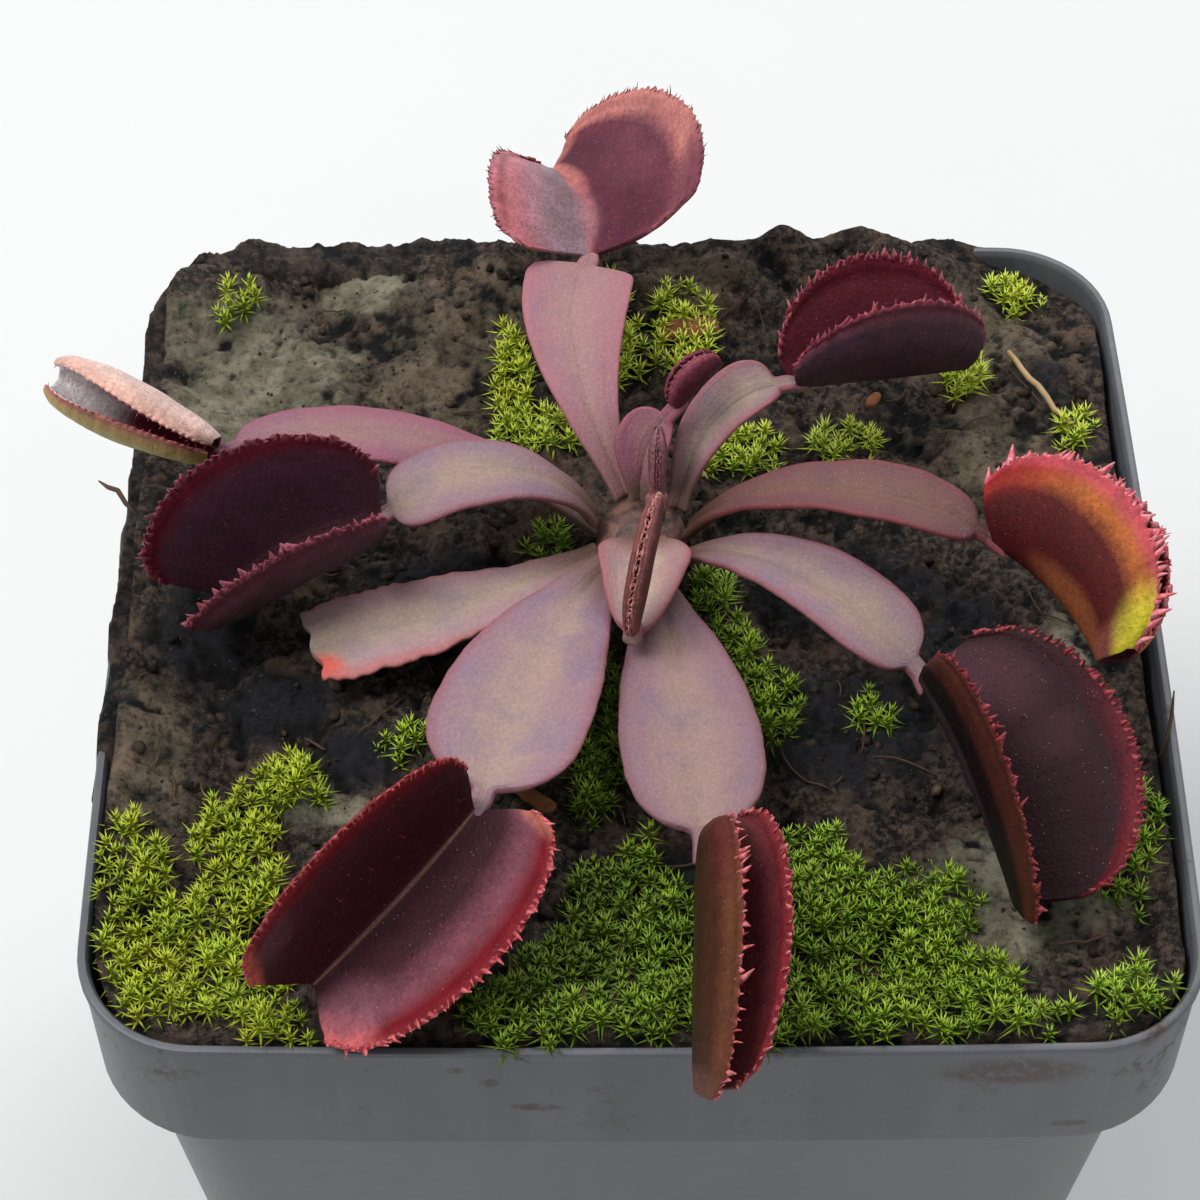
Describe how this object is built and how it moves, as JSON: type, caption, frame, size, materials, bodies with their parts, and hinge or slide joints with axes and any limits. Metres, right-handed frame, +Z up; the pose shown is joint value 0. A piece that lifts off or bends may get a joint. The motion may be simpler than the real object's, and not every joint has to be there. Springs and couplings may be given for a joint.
{
  "type": "potted plant",
  "caption": "Small Venus flytrap in a square plastic nursery pot: a low rosette of winged mauve leaf stalks with toothed dark red traps, on moist peat with star moss.",
  "frame": {"origin": "centre of the pot's flat underside, where it stands on a table", "axes": "+Z up out of the pot, +X to the right and +Y away from the viewer in the picture, both square to the pot's sides"},
  "size_m": [0.0809, 0.0892, 0.0858],
  "materials": {
    "pot_plastic": "satin grey, lightly soiled at the lip",
    "peat": "moist, crumbly, matt",
    "moss": "matt, leafy",
    "crown_flesh": "soft satin",
    "stalk_skin": "soft satin, finely dotted",
    "trap_skin": "velvety satin",
    "pale_trap_skin": "velvety satin"
  },
  "bodies": {
    "root": {"pot": "pot_plastic", "soil": "peat", "crown": "crown_flesh", "stalk_back": "stalk_skin", "trap_back": "pale_trap_skin", "stalk_left": "stalk_skin", "trap_left": "trap_skin", "stalk_far_left": "stalk_skin", "trap_far_left": "pale_trap_skin", "stalk_torn": "stalk_skin", "stalk_front_left": "stalk_skin", "trap_front_left": "trap_skin", "stalk_front": "stalk_skin", "trap_front": "trap_skin", "stalk_front_right": "stalk_skin", "trap_front_right": "trap_skin", "stalk_right": "stalk_skin", "trap_right": "pale_trap_skin", "stalk_back_right": "stalk_skin", "trap_back_right": "trap_skin", "stalk_young_front": "stalk_skin", "trap_young_front": "trap_skin", "stalk_young_middle": "stalk_skin", "trap_young_middle": "trap_skin", "stalk_young_back": "stalk_skin", "trap_young_back": "trap_skin", "moss_corner": "moss", "moss_front": "moss", "moss_strip_left": "moss", "moss_strip_right": "moss", "moss_back_left": "moss", "moss_back_middle": "moss", "moss_back_right": "moss", "moss_young": "moss", "moss_far_back": "moss", "moss_right_back": "moss", "moss_back_wall": "moss", "moss_right_wall": "moss", "moss_right_middle": "moss", "moss_right_corner": "moss", "moss_centre_right": "moss", "moss_back_corner": "moss", "moss_centre_left": "moss", "moss_left": "moss"}
  },
  "joints": []
}
